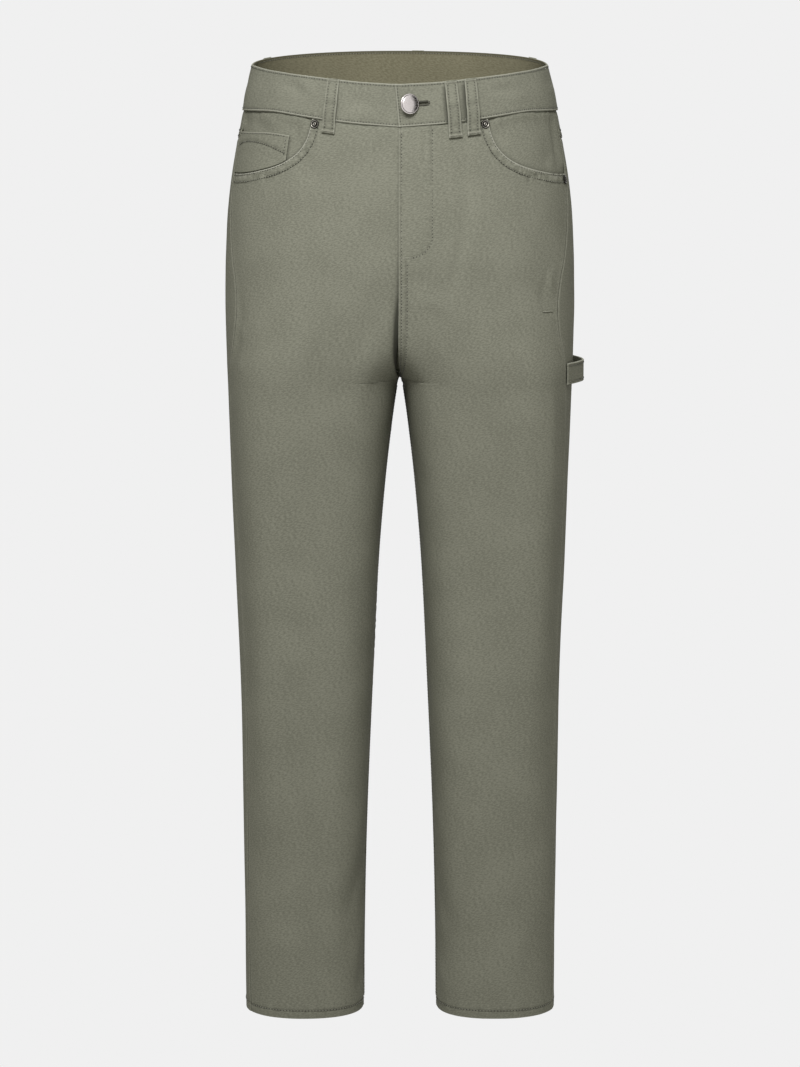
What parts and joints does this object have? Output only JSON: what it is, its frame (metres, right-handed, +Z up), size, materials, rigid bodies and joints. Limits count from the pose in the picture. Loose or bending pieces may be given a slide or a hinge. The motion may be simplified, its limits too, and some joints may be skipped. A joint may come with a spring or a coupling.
{
  "type": "work trousers",
  "caption": "Straight cotton work trousers with scooped front pockets, a coin pocket, belt loops and a hammer loop, filled out as if worn.",
  "frame": {"origin": "middle of the waist, level with the waistband's top edge at the sides, where the wearer holds it", "axes": "+Z up the body, -Y towards the garment's front, +X towards the wearer's left"},
  "size_m": [0.3803, 0.2663, 1.0335],
  "materials": {
    "cloth": "matte sage cotton twill",
    "button": "polished nickel",
    "rivet": "antique nickel, dark in its grooves"
  },
  "bodies": {
    "root": {"front_panel_left": "cloth", "back_panel_left": "cloth", "yoke_left": "cloth", "pocket_facing_left": "cloth", "front_panel_right": "cloth", "back_panel_right": "cloth", "yoke_right": "cloth", "pocket_facing_right": "cloth", "coin_pocket": "cloth", "fly_shield": "cloth", "waistband": "cloth", "belt_loop_front_right": "cloth", "belt_loop_front_left_inner": "cloth", "belt_loop_front_left_outer": "cloth", "belt_loop_back_right": "cloth", "belt_loop_back_left": "cloth", "belt_loop_back_centre": "cloth", "hammer_loop": "cloth", "pocket_rivet_inner_left": "rivet", "pocket_rivet_inner_right": "rivet", "pocket_rivet_outer_left": "rivet", "button": "button", "button_tack": "rivet"}
  },
  "joints": []
}
